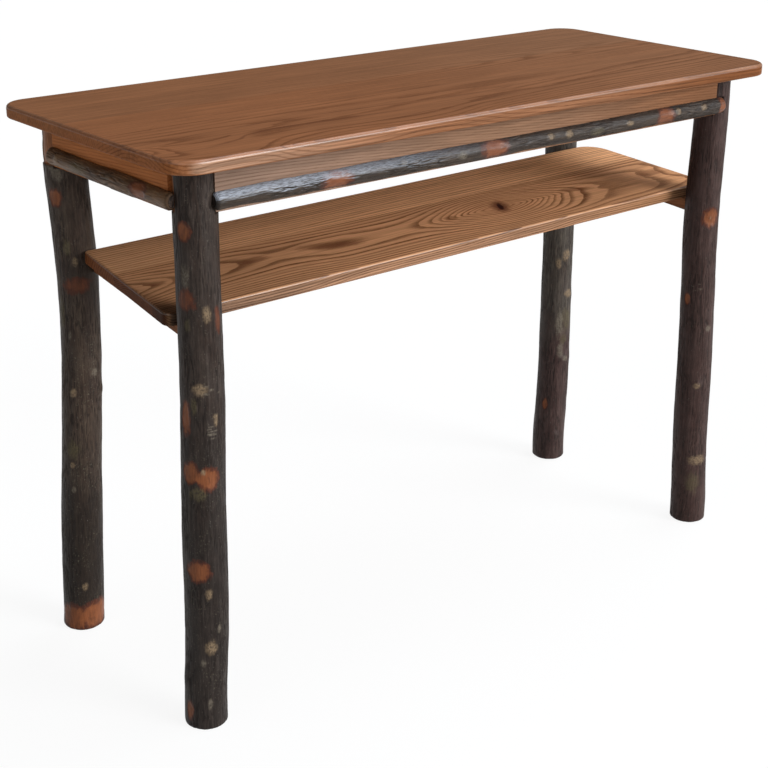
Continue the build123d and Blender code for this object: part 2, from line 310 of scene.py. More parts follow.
def oak(
    name, middle, turn=(0, 0, 0), *, heart,
    figure=((-BOARD_REACH, -FIGURE_RINGS), (BOARD_REACH, FIGURE_RINGS)),
    light=(142, 93, 61), dark=(100, 58, 33), left_waver=None, line_width=0.45, contrast=0.8,
    shift=0.0, extra=None, **rings
):
    """An oak finish for one board. Its middle and turn say where along, across and through lie.

    The heart and the figure are points of (along, value): where the heart lies across the
    board, and how many rings the figure rises over it. The rings may waver more at the left end.
    The shift takes the noise from another place, and what is in rings goes to the ring group.
    """
    material, tree, shader, world = new_finish(name)
    place = tree.placed(world, [m * MM for m in middle], turn, (MM, MM, MM))
    streak_place = tree.vector("ADD", place, (shift, 0, 0)) if shift else place
    along = tree.split(place)[0]
    inputs = {"Place": streak_place, **by_socket(rings)}
    inputs["Heart Line"] = tree.along_curve(along, BOARD_REACH, heart, HEART_SPREAD)
    inputs["Figure"] = tree.along_curve(along, BOARD_REACH, figure, FIGURE_RINGS)
    if left_waver:
        inputs["Waver"] = tree.step(along, -500, -360, left_waver, inputs["Waver"])
    count = tree.group(oak_rings, inputs)["Rings"]
    grain = tree.group(oak_grain, {"Place": streak_place, "Rings": count, "Line Width": line_width})
    colour = tree.blend(tree.times(grain["Line"], contrast), paint(*light), paint(*dark))
    streaks = tree.step(grain["Streaks"], 0.32, 0.68, 1.14, 0.76)
    clouds = tree.step(tree.noise(streak_place, (420, 90, 90), 1.0), 0.3, 0.7, 0.94, 1.06)
    colour = tree.tint(colour, tree.times(streaks, clouds))
    pore = paint(*(value * 0.6 for value in dark))
    colour = tree.blend(tree.times(grain["Pores"], 0.5 * contrast), colour, pore)
    height = grain["Height"]
    if extra:
        colour, height = extra(tree, place, colour, height)
    roughness = tree.add(0.60, tree.times(grain["Line"], 0.10), tree.times(grain["Streaks"], 0.06))
    apply_finish(tree, shader, colour, roughness, height)
    # Varnish lies thicker and shines more on the rounded edges.
    upward = tree.facing()[2]
    rounded = tree.times(tree.step(upward, 0.04, 0.25), tree.step(upward, 0.93, 0.99, 1.0, 0.0))
    tree.link(tree.add(0.03, tree.times(rounded, 0.95)), shader["Coat Weight"])
    shader["Coat Roughness"].default_value = 0.36
    shader["Specular IOR Level"].default_value = 0.06
    return material


# ---- Shelf ----

# Tones for the shelf's edges: darker than on the top, with a painted sheen that leaves the left end greyer,
# and dark end grain.
shelf_edge_tones = {
    "Left": (0.54, 0.62, 0.80, 1.0),
    "Middle": (0.54, 0.58, 0.68, 1.0),
    "Right": (0.52, 0.52, 0.52, 1.0),
    "End": (0.29, 0.175, 0.105, 1.0),
}

# Dark blots: middle along and across the shelf, half length, half width, tilt, strength.
shelf_blots = (
    (-184, -36, 56, 13, -0.28, 0.62),
    (-306, -28, 26, 11, 0.0, 0.6),
    (47, -40, 13, 10, 0.0, 0.6),
    (315, -42, 34, 9, -0.25, 0.6),
    (490, -45, 32, 14, 0.0, 0.55),
    (-465, -31, 15, 8, 0.0, 0.6),
)


def oval(tree, place, middle, half_length, half_width, tilt, ragged, inner, outer, strength=1.0):
    """A mask over an oval on a board, which fades between two shares of its size."""
    x, y, _ = tree.split(tree.placed(place, (*middle, 0), (0, 0, tilt)))
    far = tree.length(tree.math("DIVIDE", x, half_length), tree.math("DIVIDE", y, half_width))
    return tree.step(tree.add(far, ragged), inner, outer, strength, 0.0)


def shelf_knot(tree, place, colour, height):
    """The small dark knot in the shelf's front board, with the swirl round it."""
    ragged = tree.times(tree.add(tree.noise(place, (9, 5, 5), 2.0), -0.5), 0.9)
    tilt = 1.05

    def within(half_length, half_width, soft, strength=1.0):
        edges = (1.0 - soft, 1.0 + soft)
        return oval(tree, place, (150, -40), half_length, half_width, tilt, ragged, *edges, strength)

    colour = tree.blend(within(34, 42, 0.7, 0.3), colour, paint(146, 100, 66))
    colour = tree.blend(within(24, 14, 0.5, 0.88), colour, paint(98, 56, 38))
    colour = tree.blend(within(15, 4.5, 0.35), colour, paint(42, 15, 9))
    return colour, tree.add(height, tree.times(within(15, 4.5, 0.5), -0.25))


def shelf_figure_marks(tree, place, colour, height):
    """The dark blots where the face just grazes a ring, the knot, and painted shade beside the near leg."""
    ragged = tree.times(tree.add(tree.noise(place, (16, 3.0, 3.0), 3.0, 0.6), -0.5), 1.1)
    for middle_x, middle_y, half_length, half_width, tilt, strength in shelf_blots:
        size = (half_length, half_width, tilt)
        inside = oval(tree, place, (middle_x, middle_y), *size, ragged, 0.55, 1.2, strength)
        colour = tree.blend(inside, colour, paint(104, 62, 38))
    colour, height = shelf_knot(tree, place, colour, height)
    x, y, _ = tree.split(place)
    # Painted shade: the shelf is darkened close to the near leg.
    from_leg = tree.length(tree.add(x, 512), tree.add(y, 132))
    colour = tree.tint(colour, tree.step(from_leg, 22, 62, 0.42, 1.0))
    return shelf_edges(tree, place, colour, height)


def shelf_edges(tree, place, colour, height):
    """The stained edges, with the whole board a little darker towards its left end."""
    along = tree.split(place)[0]
    colour = tree.tint(colour, tree.step(along, -520, -60, 0.73, 1.13))
    inputs = {"Place": place, "Colour": colour, **shelf_edge_tones}
    return tree.group(edge_stain_and_sheen, inputs)["Colour"], height


# The shelf falls by 18 over its width to the front, and by 9 over its length to the left.
shelf_slope_x, shelf_slope_y = 9 / 1051, 18 / 260
shelf_turn = (math.atan(shelf_slope_y), -math.atan(shelf_slope_x), 0)
shelf_place = (0, 0, 595)

shelf_heart = (
    (-560, -34), (-465, -30), (-320, -28), (-175, -40), (48, -42), (150, -42), (260, -60),
    (350, -62), (480, -56), (560, -50),
)
shelf_figure = (
    (-560, -5.4), (-500, -3.6), (-450, -2.2), (-390, -0.9), (-320, 0.15), (-265, 0.85), (-175, 0.1),
    (-100, 0.6), (-40, 1.1), (20, 1.3), (100, 1.8), (175, 2.4), (350, 3.15), (440, 3.6), (560, 6.6),
)

shelf_front_look = dict(
    light=(190, 139, 99), dark=(100, 60, 35), heart=shelf_heart, figure=shelf_figure, figure_reach=58,
    ring_width=3.1, rings_below=48, waver=0.14, left_waver=0.34, line_width=0.56, contrast=1.0,
    knot=(150, -42, 0), knot_rings=12.0, extra=shelf_figure_marks,
)
shelf_back_look = dict(
    light=(216, 163, 119), dark=(144, 95, 59), heart=((-560, -72), (560, -60)), ring_width=6.0,
    rings_below=16, waver=0.3, line_width=0.6, contrast=0.9, shift=730, extra=shelf_edges,
)
for board, look in (("front", shelf_front_look), ("back", shelf_back_look)):
    dress(f"shelf_board_{board}", oak(f"shelf_{board}_oak", shelf_place, shelf_turn, **look))


# ---- Top ----

# Dark lines in the top: points of (along, across) from the table's middle, a width and a strength.
top_lines = (
    (
        (
            (-562, -125), (-502, -118), (-431, -109), (-281, -105), (-118, -115), (22, -125),
            (108, -116), (284, -109), (385, -99),
        ),
        2.2,
        0.62,
    ),
    (((-461, -177), (-416, -164), (-390, -149), (-323, -142), (-247, -147), (-148, -151)), 4.0, 0.68),
    (((33, -134), (121, -145), (212, -137), (296, -118), (424, -106)), 1.8, 0.5),
    (((-177, -186), (-97, -174)), 2.4, 0.5),
    (((-552, -59), (-495, -60), (-448, -30), (-300, -26), (-91, -38)), 1.6, 0.3),
    (((-548, -124), (-518, -120), (-495, -60)), 1.6, 0.25),
)


def top_lines_group():
    """The dark lines that run on from one board of the top to the next."""
    group, tree, given, out = new_group("top_lines", {"Place": ORIGIN}, ["Dark"])
    place = given["Place"]
    along, across, _ = tree.split(place)
    wander = tree.times(tree.add(tree.noise(place, (70, 12, 12), 2.0), -0.5), 9.0)
    broken = tree.step(tree.noise(place, (36, 1.6, 1.6), 3.0, 0.6), 0.3, 0.62, 0.35, 1.0)
    reach, spread, fade = 570.0, 240.0, 25
    dark = 0.0
    for turns, width, strength in top_lines:
        first, last = turns[0][0], turns[-1][0]
        line = tree.along_curve(along, reach, turns, spread)
        off = tree.math("ABSOLUTE", tree.math("SUBTRACT", tree.add(across, wander), line))
        shown = tree.times(
            tree.step(off, 0.2 * width, width, strength, 0.0),
            tree.step(along, first - fade, first + fade),
            tree.step(along, last - fade, last + fade, 1.0, 0.0),
        )
        dark = tree.math("MAXIMUM", dark, shown)
    tree.link(tree.times(dark, broken), out["Dark"])
    return group


top_line_marks = top_lines_group()


def top_board_marks(middle_y):
    """Draws the top's lines on the board whose middle lies here, its stained edges, and a painted sheen that
    leaves the top paler and greyer towards the right.
    """

    def draw(tree, place, colour, height):
        on_table = tree.vector("ADD", place, (0, middle_y, 0))
        dark = tree.group(top_line_marks, {"Place": on_table})["Dark"]
        colour = tree.blend(dark, colour, paint(86, 48, 28))
        # Painted sheen: the board is paler and greyer towards the right.
        rightward = tree.step(tree.split(place)[0], -250, 480)
        colour = tree.tint(colour, tree.blend(rightward, (0.95, 0.94, 0.93, 1.0), (1.0, 1.10, 1.22, 1.0)))
        stained = tree.group(edge_stain_and_sheen, {"Place": place, "Colour": colour})["Colour"]
        return stained, tree.add(height, tree.times(dark, -0.04))

    return draw


top_face = 800.0
top_board_width = 92.0
grey_oak = dict(light=(137, 92, 62), dark=(106, 66, 41), ring_width=5.0)
top_looks = {
    1: dict(
        heart=((-560, 36), (-461, -6), (-357, 37), (-289, 44), (-150, 32), (0, 60), (560, 90)),
        figure=((-560, -2.0), (-470, 0.7), (-350, 0.15), (-240, 0.2), (-170, 0.75), (100, 1.0), (560, 1.3)),
        figure_reach=30, ring_width=5.0, rings_below=30, contrast=0.72, shift=310,
    ),
    2: dict(
        heart=((-560, -38), (-281, -18), (0, -2), (335, 28), (560, 40)),
        figure=((-560, -2.5), (-200, -0.4), (100, 0.1), (440, 0.7), (560, 0.9)),
        ring_width=5.0, rings_below=40, contrast=0.72, shift=-120,
    ),
    3: dict(heart=((-560, 95), (560, 80)), ring_width=4.8, rings_below=20, contrast=0.6, shift=905),
    4: dict(heart=((-560, -70), (560, -96)), rings_below=22, contrast=0.5, shift=1310, **grey_oak),
    5: dict(heart=((-560, 130), (560, 150)), rings_below=14, contrast=0.35, shift=1790, **grey_oak),
}
for index, look in top_looks.items():
    middle_y = (index - 3) * top_board_width
    finish = oak(f"top_oak_{index}", (0, middle_y, top_face), extra=top_board_marks(middle_y), **look)
    dress(f"top_board_{index}", finish)


# ---- Aprons, cleats and rails: their grain runs along them ----


def apron_shade_and_sheen(tree, place, colour, height):
    """Painted shadow along the apron's upper edge under the top, a painted sheen that leaves it paler and
    greyer at the left, and redder and darker towards the right.
    """
    along, _, up = tree.split(place)
    # Painted sheen: paler and greyer towards the left end.
    tone = tree.blend(tree.step(along, -480, 40), (0.72, 0.80, 0.97, 1.0), (0.73, 0.70, 0.70, 1.0))
    tone = tree.blend(tree.step(along, 20, 440), tone, (0.60, 0.46, 0.36, 1.0))
    # Painted shadow: darker towards the upper edge, where the top overhangs the apron.
    return tree.tint(tree.tint(colour, tone), tree.step(up, 17.5, 27.0, 1.0, 0.55)), height


pale_oak = dict(light=(154, 120, 94), dark=(112, 79, 57), waver=0.1, contrast=0.62, extra=apron_shade_and_sheen)
brown_oak = dict(light=(173, 107, 60), dark=(129, 71, 37), contrast=0.6)
rail_oak = dict(light=(124, 80, 52), dark=(92, 56, 35), contrast=0.5)
raw_oak = dict(light=(170, 130, 94), dark=(136, 98, 66), contrast=0.45)
board_looks = {
    "apron_front": dict(rings_below=12, ring_width=3.7, shift=200, **pale_oak),
    "apron_back": dict(rings_below=14, ring_width=3.6, shift=640, **pale_oak),
    "apron_left": dict(rings_below=18, ring_width=4.0, shift=1120, **brown_oak),
    "apron_right": dict(rings_below=16, ring_width=3.8, shift=1500, **brown_oak),
    "cleat_front": dict(rings_below=25, shift=80, **raw_oak),
    "cleat_back": dict(rings_below=28, shift=410, **raw_oak),
    "cleat_left": dict(rings_below=22, shift=770, **raw_oak),
    "cleat_right": dict(rings_below=26, shift=990, **raw_oak),
    "shelf_rail_left": dict(rings_below=20, shift=1270, **rail_oak),
    "shelf_rail_right": dict(rings_below=24, shift=1660, **rail_oak),
}
for name, look in board_looks.items():
    low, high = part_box(name)
    middle = [(a + b) / 2 / MM for a, b in zip(low, high)]
    turn = (0, 0, QUARTER if name.endswith(("left", "right")) else 0)
    dress(name, oak(f"{name}_oak", middle, turn, heart=((-560, -30), (560, 26)), **look))


# ---- Screws ----


def zinc_steel():
    """Zinc-plated steel with a faint yellow tone and fine scuffs."""
    material, tree, shader, world = new_finish("zinc_steel")
    place = in_millimetres(tree, world)
    scuffs = tree.noise(place, (0.4, 0.4, 2.2), 2.0)
    cloud = tree.noise(place, (1.6, 1.6, 1.6), 3.0)
    colour = tree.blend(cloud, paint(176, 170, 148), paint(206, 202, 190))
    apply_finish(tree, shader, colour, tree.step(scuffs, 0.3, 0.7, 0.28, 0.48), scuffs, 0.03 * MM)
    shader["Metallic"].default_value = 1.0
    return material


steel = zinc_steel()
for name in ("apron", "pole", "cleat", "top", "shelf"):
    dress(f"{name}_screws", steel)


# ---- Bark: the finish ----


def bark_skin_group():
    """Bark from the marks stored on a log's mesh: fissures with painted shade in them, worn patches, lichen,
    knots, and pale flecks painted in part as glints.
    """
    inputs = {
        "Place": ORIGIN,
        "Bark": paint(66, 58, 52),
        "Second Bark": paint(56, 46, 40),
        "Crest": paint(92, 84, 76),
        "Fissure": paint(30, 24, 20),
        "Worn": paint(116, 67, 39),
        "Lichen": 0.3,
    }
    group, tree, given, out = new_group("bark_skin", inputs, ["Colour", "Roughness", "Height"])

    def mark(name):
        return tree.node("Attribute", attribute_name=name).outputs["Fac"]

    ridge, peeled, pale, tan, olive, bare = (
        mark(name) for name in ("ridge", "peeled", "pale", "tan", "olive", "bare")
    )
    place = given["Place"]
    threads = tree.noise(place, (1.2, 1.2, 15), 3.0, 0.6)
    streaks = tree.noise(place, (3.4, 3.4, 70), 3.0, 0.6)
    broad = tree.noise(place, (19, 19, 60), 4.0, 0.6)
    speck = tree.noise(place, (2.4, 2.4, 3.0), 3.0, 0.6)
    cloud = tree.noise(place, (8, 8, 14), 3.0, 0.6)

    colour = tree.blend(tree.step(broad, 0.38, 0.62), given["Second Bark"], given["Bark"])
    colour = tree.blend(tree.step(streaks, 0.5, 0.7, 0.0, 0.5), colour, given["Crest"])
    colour = tree.blend(tree.step(streaks, 0.3, 0.47, 0.6, 0.0), colour, given["Fissure"])
    colour = tree.blend(tree.step(threads, 0.5, 0.78, 0.0, 0.45), colour, given["Crest"])
    sunk = tree.step(ridge, 0.15, 0.85, 1.0, 0.0)
    # Darker in the fissures: the bark's own dark colour there, and painted shade in the hollows.
    colour = tree.blend(tree.times(sunk, 0.62), colour, given["Fissure"])
    colour = tree.tint(colour, tree.step(cloud, 0.3, 0.7, 0.84, 1.16))
    # Pale flecks, painted in part as small glints of light on the bark.
    glint_fleck = tree.step(tree.noise(place, (1.9, 1.9, 3.4), 2.0), 0.66, 0.78, 0.0, 0.55)
    colour = tree.blend(glint_fleck, colour, paint(96, 91, 84))
    lichen_patch = tree.step(tree.noise(place, (30, 30, 42), 2.0), 0.45, 0.62)
    lichen = tree.times(tree.step(speck, 0.56, 0.74), lichen_patch, given["Lichen"])
    colour = tree.blend(lichen, colour, paint(92, 87, 73))

    # Worn patches: dark red inner bark round their edges, golden wood in the middle.
    smear = tree.step(tree.noise(place, (2.6, 2.6, 20), 4.0, 0.65), 0.3, 0.7, 0.76, 1.14)
    golden = tree.blend(tree.step(cloud, 0.5, 0.72, 0.0, 0.6), given["Worn"], paint(86, 50, 31))
    golden = tree.tint(golden, smear)
    inner_bark = tree.tint(paint(74, 37, 23), smear)
    soft_edge = tree.add(
        peeled, tree.times(tree.add(speck, -0.5), 0.2), tree.times(tree.add(threads, -0.5), 0.15)
    )
    colour = tree.blend(tree.step(soft_edge, 0.12, 0.5, 0.0, 0.85), colour, inner_bark)
    colour = tree.blend(tree.step(soft_edge, 0.45, 0.95, 0.0, 0.9), colour, golden)
    mottled = tree.step(speck, 0.3, 0.62, 0.25, 1.0)
    colour = tree.blend(tree.times(olive, mottled, 0.65), colour, paint(78, 70, 48))
    colour = tree.blend(tree.times(pale, mottled, 0.7), colour, paint(102, 94, 82))
    colour = tree.blend(tree.times(tan, mottled, 0.8), colour, paint(122, 103, 80))
    plank = tree.blend(tree.step(threads, 0.3, 0.7), paint(108, 66, 38), paint(144, 92, 56))
    colour = tree.blend(bare, colour, plank)

    roughness = tree.add(0.50, tree.times(sunk, 0.2), tree.times(pale, 0.15), tree.times(peeled, -0.08))
    rough_bark = tree.math("SUBTRACT", 1.0, tree.math("MAXIMUM", peeled, bare))
    height = tree.times(
        tree.add(tree.times(threads, 0.45), tree.times(streaks, 0.60), tree.times(speck, 0.15)),
        tree.add(0.25, tree.times(rough_bark, 0.75)),
    )
    for name, value in (("Colour", colour), ("Roughness", roughness), ("Height", height)):
        tree.link(value, out[name])
    return group


bark_skin = bark_skin_group()


def bark(
    name, paints, turn=(0, 0, 0), shift=0.0, gloss=0.06, lichen=0.3, lower=(), lower_height=450.0, painted_sheen=None
):
    """A bark finish. The turn lays the log's length along the texture's Z axis.

    The paints are those of the bark, second bark, crests and fissures. Those in lower take over
    below a height. The painted sheen is a pale colour painted as a highlight over the side that
    looks up, with its share at two places along.
    """
    material, tree, shader, world = new_finish(name)
    place = tree.placed(world, (shift, 0, 0), turn, (MM, MM, MM))
    layers = ("Bark", "Second Bark", "Crest", "Fissure")
    inputs = {"Place": place, "Lichen": lichen}
    inputs.update((layer, paint(*colour)) for layer, colour in zip(layers, paints))
    if lower:
        height = tree.split(place)[2]
        raggedness = tree.times(tree.add(tree.noise(place, (40, 40, 90), 3.0), -0.5), 400.0)
        below = tree.step(tree.add(height, raggedness), lower_height - 110, lower_height + 110, 1.0, 0.0)
        for layer, colour in zip(layers, lower):
            inputs[layer] = tree.blend(below, inputs[layer], paint(*colour))
    skin = tree.group(bark_skin, inputs)
    colour = skin["Colour"]
    # Painted highlight: a pale bluish colour over the upward side, its share changing along the pole and
    # broken into streaks.
    if painted_sheen:
        sheen_colour, (first, first_share), (last, last_share) = painted_sheen
        sheen_streaks = tree.step(tree.noise(place, (0.9, 0.9, 8), 3.0, 0.6), 0.36, 0.6, 0.35, 1.0)
        share = tree.times(
            tree.step(tree.facing()[2], -0.05, 0.5),
            tree.step(tree.split(place)[2], first, last, first_share, last_share),
            sheen_streaks,
        )
        colour = tree.blend(share, colour, paint(*sheen_colour))
    apply_finish(tree, shader, colour, skin["Roughness"], skin["Height"])
    shader["Specular IOR Level"].default_value = 0.13
    shader["Coat Weight"].default_value = gloss
    shader["Coat Roughness"].default_value = 0.42
    return material


def sawn_log():
    """End grain of a log: rings about its pith, with fine saw marks across them."""
    material, tree, shader, world = new_finish("sawn_log")
    place = in_millimetres(tree, world)
    from_pith = tree.node("Attribute", attribute_name="from_pith").outputs["Fac"]
    wobble = tree.times(tree.noise(place, (9, 9, 9), 2.0), 1.6)
    ring = tree.math("FRACT", tree.times(tree.add(from_pith, wobble), 0.62))
    line = tree.times(tree.step(ring, 0.0, 0.4, 1.0, 0.0), 0.5)
    heartwood = tree.step(tree.add(from_pith, tree.times(wobble, 2.0)), 12.0, 18.0, 1.0, 0.0)
    colour = tree.blend(heartwood, paint(188, 156, 116), paint(142, 104, 72))
    colour = tree.blend(line, colour, paint(112, 82, 56))
    saw = tree.noise(place, (1.0, 22, 1.0), 2.0)
    colour = tree.blend(tree.step(saw, 0.4, 0.7, 0.0, 0.25), colour, paint(92, 70, 52))
    apply_finish(tree, shader, colour, tree.step(saw, 0.3, 0.7, 0.55, 0.75), saw, 0.3 * MM)
    return material


def stained_cut():
    """Cut faces at a leg's head and a pole's ends, dark with stain."""
    material, tree, shader, world = new_finish("stained_cut")
    grain = tree.noise(in_millimetres(tree, world), (2.2, 2.2, 26), 3.0)
    colour = tree.blend(tree.step(grain, 0.3, 0.7), paint(40, 28, 21), paint(72, 50, 35))
    apply_finish(tree, shader, colour, tree.step(grain, 0.3, 0.7, 0.6, 0.75), grain, 0.3 * MM)
    return material


sawn = sawn_log()
stained = stained_cut()


# ---- Bark: the shape ----

gradients = np.random.default_rng(11).normal(size=(256, 3))
gradients /= np.linalg.norm(gradients, axis=1)[:, None]


def lumps(places, size, seed):
    """Smooth noise from about -1 to 1, with lumps of this many millimetres along each axis."""
    places = places / np.array(size)
    cell = np.floor(places).astype(np.int64)
    inside = places - cell
    fade = inside**3 * (inside * (inside * 6 - 15) + 10)
    total = np.zeros(places.shape[:-1])
    for corner in np.ndindex(2, 2, 2):
        x, y, z = np.moveaxis(cell + corner, -1, 0)
        mixed = (x * 73856093 ^ y * 19349663 ^ z * 83492791 ^ (seed + 1) * 40503) & 0xFFFFFFFF
        mixed = ((mixed ^ (mixed >> 13)) * 1274126177) & 0xFFFFFFFF
        slope = gradients[(mixed ^ (mixed >> 16)) & 255]
        weight = np.prod(np.where(corner, fade, 1 - fade), axis=-1)
        total += weight * ((inside - corner) * slope).sum(-1)
    return total * 1.6


def smooth(value, low, high):
    """Runs smoothly from 0 to 1 while the value goes from low to high."""
    share = np.clip((value - low) / (high - low), 0, 1)
    return share * share * (3 - 2 * share)


def on_log(along, angle, radius):
    """Points at these places along, and angles about, a straight log."""
    return np.stack([radius * np.cos(angle), radius * np.sin(angle), along + 0 * angle], -1)


def bark_relief(along, angle, radius, marks, seed):
    """How far the bark stands out from its log, in millimetres, and its marks from 0 to 1.

    Each mark is (kind, place along, angle in degrees, half its length, half its width).
    """
    local = on_log(along, angle, radius)
    twist = 1.3 * lumps(local, (18, 18, 80), seed) / radius
    bent = on_log(along, angle + twist, radius)
    narrow = smooth(np.abs(lumps(bent, (2.7, 2.7, 34), seed + 1)), 0.0, 0.24)
    broad = smooth(np.abs(lumps(bent, (7.0, 7.0, 95), seed + 2)), 0.0, 0.13)
    rough_part = smooth(lumps(local, (24, 24, 75), seed + 8), -0.5, 0.35)
    ridge = 1 - (1 - narrow * (0.6 + 0.4 * broad)) * (0.30 + 0.70 * rough_part)
    swell = 0.8 * lumps(local, (34, 34, 85), seed + 3) + 0.40 * lumps(local, (13, 13, 30), seed + 4)
    ragged = 0.30 * lumps(local, (6, 6, 9), seed + 5) + 0.22 * lumps(local, (2.5, 2.5, 4), seed + 6)
    mask = {kind: np.zeros_like(ridge) for kind in ("peeled", "pale", "tan", "olive", "bare")}
    cut_back = np.zeros_like(ridge)

    def cover(kind, share):
        mask[kind] = np.maximum(mask[kind], share)

    for kind, place, degrees, half_length, half_width in marks:
        turn = (angle - math.radians(degrees) + math.pi) % (2 * math.pi) - math.pi
        far = np.hypot((along - place) / half_length, turn * radius / half_width)
        if kind == "burl":
            swell += 2.4 * np.exp(-(far**2))
        elif kind == "scratch":
            scored = smooth(lumps(local, (16, 16, 0.9), seed + 7), 0.12, 0.3)
            cover("pale", scored * smooth(far + ragged, 1.15, 0.8))
        elif kind == "bare":
            inside = np.maximum(np.abs(along - place) / half_length, np.abs(turn * radius) / half_width)
            planed = smooth(inside, 1.04, 0.98)
            cover("bare", planed)
            cut_back = np.maximum(cut_back, (0.6 + 0.15 * half_width) * planed)
        elif kind == "peeled":
            cover("peeled", smooth(far + 0.6 * ragged, 1.35, 0.4))
        elif kind == "rust":
            cover("peeled", 0.64 * smooth(far + 0.9 * ragged, 1.35, 0.4))
        else:
            cover(kind, smooth(far + 0.9 * ragged, 1.3, 0.5))
    worn = np.maximum(mask["peeled"], mask["bare"])
    ridge = ridge * (1 - worn) + 0.95 * worn
    ridge = np.maximum(ridge, 0.7 * np.maximum(mask["pale"], mask["tan"]))
    rim = 4 * mask["peeled"] * (1 - mask["peeled"])
    out = 0.6 * (ridge - 0.85) + swell * (1 - mask["bare"]) - 0.8 * mask["peeled"] + 0.25 * rim
    return out + 0.4 * mask["tan"] - cut_back, {"ridge": ridge, **mask}


def add_object(name, data):
    made = bpy.data.objects.new(name, data)
    bpy.context.scene.collection.objects.link(made)
    return made


def add_mesh(name, points, faces, materials):
    """An object from points in millimetres and faces."""
    mesh = bpy.data.meshes.new(name)
    mesh.from_pydata((np.array(points) * MM).tolist(), [], faces)
    for material in materials:
        mesh.materials.append(material)
    return add_object(name, mesh)


def skin_piece(name, rings, end_faces, marks, materials, sawn_rings):
    """A log's skin from rings of points, with the bark's marks stored on its points.

    The second material is on the end faces and on this many rings at each end.
    """
    rows, columns = rings.shape[:2]
    row, column = np.meshgrid(np.arange(rows - 1), np.arange(columns), indexing="ij")
    first, second = row * columns + column, row * columns + (column + 1) % columns
    faces = np.stack([first, second, second + columns, first + columns], -1).reshape(-1, 4).tolist()
    piece = add_mesh(name, rings.reshape(-1, 3), faces + end_faces, materials)
    mesh = piece.data
    for kind, values in marks.items():
        layer = mesh.attributes.new(kind, "FLOAT", "POINT")
        layer.data.foreach_set("value", np.ascontiguousarray(values, dtype=np.float32).ravel())
    sawn_faces = (row < sawn_rings) | (row >= rows - 1 - sawn_rings)
    slots = np.concatenate([sawn_faces.ravel(), [True] * len(end_faces)]).astype(np.int32)
    mesh.polygons.foreach_set("material_index", slots)
    mesh.polygons.foreach_set("use_smooth", np.ones(len(mesh.polygons), dtype=bool))
    mesh.update()
    return piece


def place_in_scene(piece, node):
    """Puts a piece in the place of its plain node."""
    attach(piece, "root")
    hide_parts(node)


def cad_tree(node):
    return BVHTree.FromObject(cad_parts[node], bpy.context.evaluated_depsgraph_get())


def box_in_millimetres(node):
    return (np.array(corner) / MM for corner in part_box(node))


# ---- Legs ----


def log_shape(node):
    """Heights up a leg with its centre and radius there, from circles fitted to its round parts."""
    tree = cad_tree(node)
    low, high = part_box(node)
    levels, rays, ray_start = 72, 60, 0.08
    above_foot, below_head = 0.006, 0.004
    tries, close_enough, share_kept = 8, 0.12, 0.9
    rough = (low + high) / 2
    heights = np.linspace(low.z + above_foot, high.z - below_head, levels)
    found = []
    for height in heights:
        points = []
        for angle in np.linspace(0, 2 * math.pi, rays, endpoint=False):
            out = Vector((math.cos(angle), math.sin(angle), 0))
            centre = Vector((rough.x, rough.y, height))
            hit = tree.ray_cast(centre + out * ray_start, -out)[0]
            if hit:
                points.append((hit.x / MM, hit.y / MM))
        points = np.array(points)
        # Points in a notch or on a flat are left out, a few at a time, until one circle fits.
        for _ in range(tries):
            table = np.column_stack([2 * points, np.ones(len(points))])
            x, y, c = np.linalg.lstsq(table, (points**2).sum(1), rcond=None)[0]
            radius = math.sqrt(c + x * x + y * y)
            error = np.abs(np.hypot(points[:, 0] - x, points[:, 1] - y) - radius)
            keep = error < max(close_enough, np.quantile(error, share_kept))
            if keep.all():
                break
            points = points[keep]
        found.append((x, y, radius))
    return heights / MM, np.array(found)


FOOT_ROUND = 4.0
CAP_RINGS = 7
LOG_COLUMNS = 164
LOG_ROWS = 480
LEG_BARK = 0.6


def bark_leg(node, material, marks, seed, bark_depth):
    """A leg in its bark: the CAD log's own line and girth, with ridges, knots and worn patches."""
    measured, shape = log_shape(node)
    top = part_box(node)[1].z / MM
    turn_in = np.linspace(0, QUARTER, 7)[:-1]
    foot_heights = FOOT_ROUND * (1 - np.cos(turn_in))
    foot_narrowing = FOOT_ROUND * (1 - np.sin(turn_in))
    heights = np.concatenate([foot_heights, np.linspace(FOOT_ROUND, top, LOG_ROWS)])
    narrowing = np.concatenate([foot_narrowing, np.zeros(LOG_ROWS)])[:, None]
    centre_x, centre_y, girth = (np.interp(heights, measured, part)[:, None] for part in shape.T)
    angle = np.linspace(-math.pi, math.pi, LOG_COLUMNS, endpoint=False)[None, :]
    relief, masks = bark_relief(heights[:, None], angle, girth, marks, seed)
    skin = on_log(heights[:, None], angle, girth + bark_depth + relief - narrowing)
    skin[..., 0] += centre_x
    skin[..., 1] += centre_y
    # Sawn faces at both ends, as rings of points that close on the pith.
    shares = np.linspace(1, 0.02, CAP_RINGS + 1)[1:, None, None]
    foot_middle = np.array([centre_x[0, 0], centre_y[0, 0], 0.0])
    head_middle = np.array([centre_x[-1, 0], centre_y[-1, 0], top])
    foot = foot_middle + (skin[0] - foot_middle) * shares[::-1]
    head = head_middle + (skin[-1] - head_middle) * shares
    points = np.concatenate([foot, skin, head])
    flat = np.zeros((CAP_RINGS, LOG_COLUMNS))
    stored = {kind: np.concatenate([flat, values, flat]) for kind, values in masks.items()}
    rows = len(points)
    pith = np.where(np.arange(rows)[:, None, None] < rows / 2, foot_middle, head_middle)
    stored["from_pith"] = np.hypot(*np.moveaxis(points - pith, -1, 0)[:2])
    foot_face = list(range(LOG_COLUMNS))[::-1]
    head_face = [(rows - 1) * LOG_COLUMNS + k for k in range(LOG_COLUMNS)]
    return skin_piece(
        f"bark_{node}", points, [foot_face, head_face], stored, [material, sawn], CAP_RINGS
    )


BOX_FACES = ((0, 1, 3, 2), (4, 6, 7, 5), (0, 4, 5, 1), (2, 3, 7, 6), (0, 2, 6, 4), (1, 5, 7, 3))


